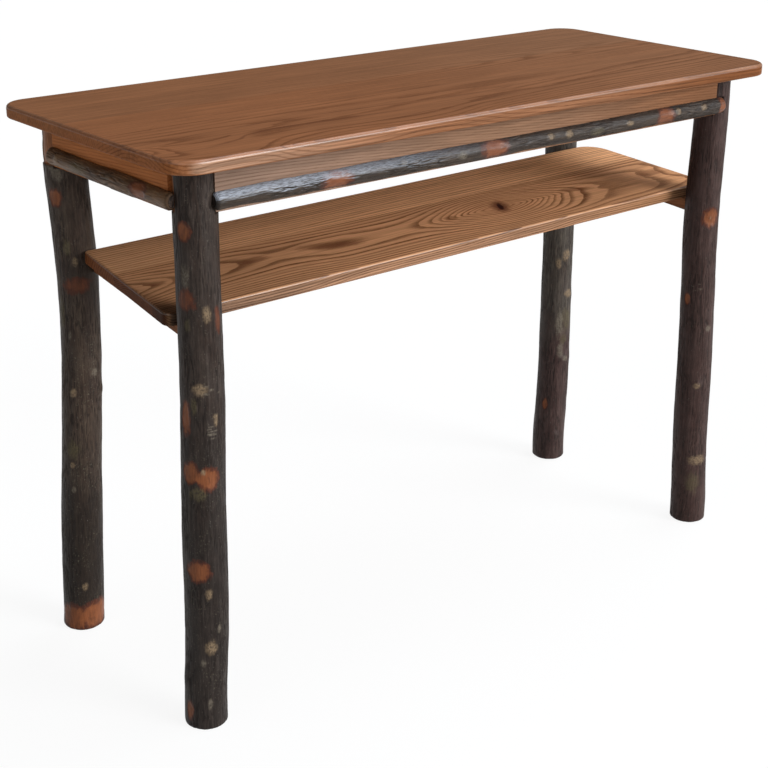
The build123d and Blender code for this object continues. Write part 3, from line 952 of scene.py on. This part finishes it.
def cut_away(piece, boxes):
    """Cuts boxes given by opposite corners, in millimetres, out of a piece, with stained faces."""
    corners, faces = [], []
    for low, high in boxes:
        faces += [[len(corners) + k for k in face] for face in BOX_FACES]
        xs, ys, zs = (sorted(pair) for pair in zip(low, high))
        corners += [(x, y, z) for x in xs for y in ys for z in zs]
    cutter = add_mesh("cutter", corners, faces, [stained])
    modifier = piece.modifiers.new("cut", "BOOLEAN")
    modifier.operation, modifier.solver, modifier.object = "DIFFERENCE", "EXACT", cutter
    modifier.material_mode = "TRANSFER"
    evaluated = piece.evaluated_get(bpy.context.evaluated_depsgraph_get())
    cut_mesh = bpy.data.meshes.new_from_object(evaluated)
    piece.modifiers.clear()
    piece.data = cut_mesh
    bpy.data.objects.remove(cutter)


JOINT_REACH = 120.0
# How far the cuts at a leg's head pass their boards: beyond the end, below and above.
NOTCH_GAPS = (0.3, 2.5, 5.0)
FLAT_GAPS = (0.4, 0.4, 0.4)


def joint_box(node, along_axis, sign_along, sign_out, gaps):
    """The box that makes room at a leg's head for the end of one board or pole."""
    beyond, below, above = gaps
    out_axis = 1 - along_axis
    low, high = box_in_millimetres(node)
    end = (high if sign_along > 0 else low)[along_axis] + sign_along * beyond
    inner = (low if sign_out > 0 else high)[out_axis]
    first, second = np.zeros(3), np.zeros(3)
    first[along_axis], second[along_axis] = end, end - sign_along * JOINT_REACH
    first[out_axis], second[out_axis] = inner, inner + sign_out * JOINT_REACH
    first[2], second[2] = low[2] - below, high[2] + above
    return first, second


def scattered(seed, count, first_angle, last_angle, reach):
    """More small marks for a side of a log, in chance places."""
    chance = np.random.default_rng(seed)
    kinds = ("peeled", "tan", "olive", "pale", "tan", "pale")
    made = []
    for index in range(count):
        size = chance.uniform(4, 15)
        place, degrees = chance.uniform(*reach), chance.uniform(first_angle, last_angle)
        half_length, half_width = size * chance.uniform(0.8, 1.5), size * chance.uniform(0.5, 0.9)
        made.append((kinds[index % len(kinds)], place, degrees, half_length, half_width))
    return made


# Marks on the logs: kind, height, angle about the log, half its height and half its width.
leg_marks = {
    "leg_front_left": [
        ("bare", 752, 162, 30, 7), ("peeled", 700, -155, 13, 10), ("pale", 642, -157, 15, 6),
        ("rust", 613, -158, 17, 16), ("tan", 593, -103, 10, 6), ("olive", 579, -157, 10, 4),
        ("rust", 584, -70, 21, 6), ("tan", 493, -131, 8, 10), ("scratch", 492, -100, 8, 16),
        ("peeled", 452, -172, 26, 9), ("olive", 471, -146, 12, 4), ("scratch", 436, -98, 12, 8),
        ("tan", 451, -88, 9, 4), ("peeled", 379, -158, 17, 14), ("peeled", 371, -108, 18, 15),
        ("peeled", 374, -130, 10, 12), ("tan", 381, -124, 4, 3.5), ("olive", 351, -138, 9, 11),
        ("peeled", 240, -143, 17, 19), ("tan", 206, -116, 9, 5), ("pale", 153, -88, 6, 3),
        ("tan", 126, -112, 11, 8), ("burl", 74, 172, 16, 10), ("peeled", 28, -172, 16, 7),
        ("pale", 103, -132, 5, 4), ("pale", 42, -112, 8, 3),
    ],
    "leg_back_left": [
        ("bare", 752, 175, 30, 18), ("pale", 712, -142, 12, 9), ("pale", 722, -160, 9, 8),
        ("peeled", 676, -158, 14, 12), ("olive", 606, -141, 12, 6), ("tan", 585, -120, 7, 4),
        ("rust", 550, -122, 14, 23), ("olive", 506, -177, 24, 6), ("pale", 475, -150, 6, 3),
        ("pale", 417, -80, 6, 5), ("tan", 388, -145, 7, 5), ("burl", 387, -52, 10, 8),
        ("olive", 300, -146, 15, 10), ("tan", 276, -146, 5, 4), ("pale", 237, -142, 5, 3),
        ("tan", 76, -114, 6, 4), ("peeled", 22, -150, 24, 30), ("peeled", 24, -80, 25, 34),
    ],
    "leg_front_right": [
        ("peeled", 551, -108, 17, 16), ("tan", 551, -110, 2.5, 2), ("scratch", 434, -140, 6, 10),
        ("peeled", 412, -176, 11, 6), ("pale", 360, -95, 6, 5), ("burl", 259, -128, 9, 10),
        ("tan", 259, -128, 5, 6), ("tan", 120, -112, 9, 16), ("olive", 77, -127, 20, 12),
    ],
    "leg_back_right": [
        ("tan", 394, -131, 10, 5), ("tan", 409, -98, 11, 8), ("tan", 335, -86, 7, 8),
        ("olive", 284, -89, 22, 12), ("olive", 246, -100, 9, 8), ("pale", 276, -118, 27, 7),
        ("burl", 206, -108, 9, 24), ("pale", 207, -92, 5, 6), ("pale", 226, -112, 15, 6),
        ("burl", 330, -70, 12, 8), ("burl", 49, -117, 9, 12), ("peeled", 115, -159, 12, 6),
    ],
}

leg_seeds = {"leg_front_left": 3, "leg_back_left": 41, "leg_front_right": 83, "leg_back_right": 127}

leg_barks = {
    "leg_front_left": dict(
        paints=((46, 37, 32), (38, 27, 21), (64, 55, 50), (20, 13, 10)), shift=0.0, lichen=0.5,
        lower=((37, 30, 26), (30, 22, 18), (54, 47, 43)), lower_height=420.0,
    ),
    "leg_back_left": dict(
        paints=((56, 45, 37), (47, 35, 28), (74, 63, 52), (24, 17, 13)), shift=0.3, lichen=0.7,
        lower=((31, 23, 17), (25, 17, 12), (47, 38, 30)), lower_height=260.0,
    ),
    "leg_front_right": dict(
        paints=((58, 41, 37), (49, 32, 28), (75, 58, 54), (26, 17, 14)), shift=0.7, lichen=0.2
    ),
    "leg_back_right": dict(
        paints=((66, 60, 54), (54, 47, 41), (86, 79, 70), (28, 22, 19)), shift=1.1, lichen=0.3,
        lower=((57, 41, 38), (47, 31, 28), (78, 62, 58)), lower_height=290.0,
    ),
}

for index, (node, marks) in enumerate(leg_marks.items()):
    _, end, side = node.split("_")
    side_x = -1 if side == "left" else 1
    side_y = -1 if end == "front" else 1
    finish = bark(f"bark_{end}_{side}", **leg_barks[node])
    hidden = scattered(500 + index, 12, -30, 150, (60, 740))
    bark_depth = 0.0 if node == "leg_front_left" else LEG_BARK
    leg = bark_leg(node, finish, marks + hidden, leg_seeds[node], bark_depth)
    for kind, gaps in (("apron", NOTCH_GAPS), ("pole", FLAT_GAPS)):
        along_x = joint_box(f"{kind}_{end}", 0, side_x, side_y, gaps)
        along_y = joint_box(f"{kind}_{side}", 1, side_y, side_x, gaps)
        cut_away(leg, [along_x, along_y])
    place_in_scene(leg, node)


# ---- Poles ----

POLE_COLUMNS = 56
POLE_STEP = 1.9
POLE_END_ROUND = 8.0
POLE_BARK = 1.0
POLE_RELIEF = 1.9  # how many times as deep as a leg's
POLE_PROUD = 1.5


def bark_pole(node, along_axis, sign_out, material, marks, seed):
    """A half-round pole in its bark, with its flat on the apron board."""
    tree = cad_tree(node)
    low, high = box_in_millimetres(node)
    out_axis = 1 - along_axis
    flat = (low if sign_out > 0 else high)[out_axis]
    ray_start = flat + sign_out * 60
    axis_height = (low[2] + high[2]) / 2
    first, last = low[along_axis], high[along_axis]
    end = POLE_END_ROUND * (1 - np.cos(np.linspace(0.12, QUARTER, 9)))[:-1]
    count = int((last - first - 2 * POLE_END_ROUND) / POLE_STEP)
    middle = np.linspace(first + POLE_END_ROUND, last - POLE_END_ROUND, count)
    stations = np.concatenate([first + end, middle, last - end[::-1]])
    girth = []
    for station in stations:
        start, toward = np.zeros(3), np.zeros(3)
        start[along_axis], start[out_axis], start[2] = station, ray_start, axis_height
        toward[out_axis] = -sign_out
        hit = tree.ray_cast(Vector(start * MM), Vector(toward))[0]
        girth.append(abs(hit[out_axis] / MM - flat))
    girth = np.array(girth)[:, None]
    body = np.full_like(girth, girth.max())
    angle = np.linspace(0, math.pi, POLE_COLUMNS)[None, :]
    relief, masks = bark_relief(stations[:, None], angle, body, marks, seed)
    edge = smooth(np.sin(angle), 0.0, 0.25)
    near_end = smooth(np.minimum(stations - first, last - stations)[:, None], 0.0, POLE_END_ROUND)
    radius = girth + (relief * POLE_RELIEF + POLE_BARK) * (0.15 + 0.85 * edge) * (0.3 + 0.7 * near_end)
    radius = np.minimum(radius, girth.max() + POLE_PROUD)
    points = np.zeros((*radius.shape, 3))
    points[..., along_axis] = stations[:, None]
    points[..., out_axis] = flat + sign_out * radius * np.sin(angle)
    points[..., 2] = axis_height - radius * np.cos(angle)
    last_ring = (len(points) - 1) * POLE_COLUMNS
    first_face = list(range(POLE_COLUMNS))
    last_face = [last_ring + k for k in first_face][::-1]
    stored = {**masks, "ridge": masks["ridge"] * near_end}
    return skin_piece(f"bark_{node}", points, [first_face, last_face], stored, [material, stained], 0)


pole_marks = {
    "front": [
        ("peeled", -290, 90, 25, 20), ("peeled", -14, 100, 27, 18), ("tan", 94, 110, 7, 5),
        ("tan", 131, 100, 8, 6), ("pale", -76, 95, 9, 6), ("tan", 258, 95, 7, 4),
        ("peeled", 340, 85, 21, 18), ("tan", 368, 115, 6, 5), ("tan", 427, 110, 7, 5),
        ("peeled", 474, 90, 10, 22), ("pale", -180, 120, 6, 3), ("olive", 190, 80, 14, 6),
    ],
    "left": [
        ("peeled", -92, 100, 20, 14), ("olive", 60, 90, 22, 8), ("tan", 118, 100, 6, 5),
        ("pale", -20, 110, 7, 3),
    ],
    "back": scattered(611, 12, 40, 140, (-460, 460)),
    "right": scattered(633, 6, 40, 140, (-130, 130)),
}

# The painted sheen, a pale highlight painted on the upper side, is a colour, then its share at two places
# along.
pole_barks = {
    "front": dict(
        paints=((47, 36, 27), (36, 26, 18), (76, 64, 52), (16, 10, 7)), shift=0.0, gloss=0.22,
        painted_sheen=((146, 152, 162), (-440, 0.95), (70, 0.04)),
    ),
    "back": dict(
        paints=((64, 53, 43), (51, 40, 31), (94, 85, 76), (16, 11, 8)), shift=0.4, gloss=0.22,
        lichen=0.4, painted_sheen=((140, 146, 157), (-420, 0.3), (420, 0.2)),
    ),
    "left": dict(
        paints=((100, 73, 49), (74, 52, 34), (124, 99, 73), (36, 23, 14)), shift=0.8, gloss=0.2
    ),
    "right": dict(
        paints=((74, 58, 45), (58, 43, 33), (96, 80, 66), (32, 23, 17)), shift=1.3, gloss=0.5,
        lichen=0.4,
    ),
}
pole_sides = {"front": (0, -1), "back": (0, 1), "left": (1, -1), "right": (1, 1)}
lay_along = ((0, QUARTER, 0), (QUARTER, 0, 0))

for index, (side, (along_axis, sign_out)) in enumerate(pole_sides.items()):
    node = f"pole_{side}"
    finish = bark(f"bark_{node}", turn=lay_along[along_axis], **pole_barks[side])
    pole = bark_pole(node, along_axis, sign_out, finish, pole_marks[side], 200 + 31 * index)
    place_in_scene(pole, node)


# ---- Floor, light and camera ----

WHITE = (1.0, 1.0, 1.0, 1.0)


def plain_floor():
    """A pale floor. The camera sees it close to white, with the table's shadow still on it."""
    material = bpy.data.materials.new("pale_floor")
    material.use_nodes = True
    nodes = material.node_tree.nodes
    nodes.remove(nodes["Principled BSDF"])
    tree = Tree(material.node_tree)
    rays = tree.node("LightPath").outputs
    seen = tree.math("MAXIMUM", rays["Is Camera Ray"], rays["Is Glossy Ray"])
    grey = tree.node("BsdfDiffuse", {"Color": (0.6, 0.6, 0.6, 1.0)})
    shaded = tree.node("BsdfDiffuse", {"Color": WHITE})
    glow = tree.node("Emission", {"Color": WHITE, "Strength": 1.0})
    shown = tree.node("MixShader", {0: 0.90, 1: shaded.outputs[0], 2: glow.outputs[0]})
    mixed = tree.node("MixShader", {0: seen, 1: grey.outputs[0], 2: shown.outputs[0]})
    tree.link(mixed.outputs[0], nodes["Material Output"].inputs["Surface"])
    half = 40000.0
    corners = [(x * half, y * half, 0) for x, y in ((-1, -1), (1, -1), (1, 1), (-1, 1))]
    floor = add_mesh("floor", corners, [(0, 1, 2, 3)], [material])
    floor.location.z = -0.0002


def studio_world():
    """White where the camera looks. Elsewhere soft light, stronger from the front than the back."""
    world = bpy.data.worlds.new("studio")
    bpy.context.scene.world = world
    world.use_nodes = True
    tree = Tree(world.node_tree)
    background = world.node_tree.nodes["Background"].inputs
    camera_sees = tree.node("LightPath").outputs["Is Camera Ray"]
    backward = tree.split(tree.node("TexCoord").outputs["Generated"])[1]
    spans = {"Value": backward, "From Min": -1.0, "From Max": 1.0, "To Min": 0.28, "To Max": 0.10}
    soft = tree.node("MapRange", spans).outputs["Result"]
    lit = tree.times(tree.math("SUBTRACT", 1.0, camera_sees), soft)
    tree.link(tree.add(lit, camera_sees), background["Strength"])
    background["Color"].default_value = WHITE


def lamp(name, toward, strength, spread_degrees, colour=(1.0, 1.0, 1.0)):
    """A broad, far lamp whose light comes from this direction."""
    data = bpy.data.lights.new(name, "SUN")
    data.energy = strength
    data.angle = math.radians(spread_degrees)
    data.color = colour
    made = add_object(name, data)
    made.rotation_mode = "QUATERNION"
    made.rotation_quaternion = Vector(toward).normalized().to_track_quat("Z", "Y")


def camera():
    """A long lens from the front left, a little above the top."""
    place = Vector((-1.4780, -1.7379, 1.2252))
    yaw, pitch, roll = 0.6882, 0.3773, 0.0057
    focal_length, frame_width = 1552.54, 768.0
    data = bpy.data.cameras.new("camera")
    data.sensor_width = 36.0
    data.lens = focal_length / frame_width * data.sensor_width
    data.clip_end = 200.0
    forward = Vector((math.sin(yaw) * math.cos(pitch), math.cos(yaw) * math.cos(pitch), -math.sin(pitch)))
    level = Vector((math.cos(yaw), -math.sin(yaw), 0))
    upward = level.cross(forward)
    right = math.cos(roll) * level + math.sin(roll) * upward
    upright = math.cos(roll) * upward - math.sin(roll) * level
    made = add_object("camera", data)
    made.matrix_world = Matrix.Translation(place) @ Matrix((right, upright, -forward)).transposed().to_4x4()
    bpy.context.scene.camera = made


plain_floor()
studio_world()
lamp("key", (0.42, -0.87, 0.25), 3.6, 30)
lamp("front", (0.36, -0.76, 0.54), 0.9, 38, (0.86, 0.93, 1.0))
lamp("high", (0.50, 0.0, 0.87), 1.4, 40, (0.90, 0.95, 1.0))
lamp("fill", (-0.9, -0.35, 0.45), 0.5, 60)
camera()
bpy.context.scene.view_settings.view_transform = "Standard"
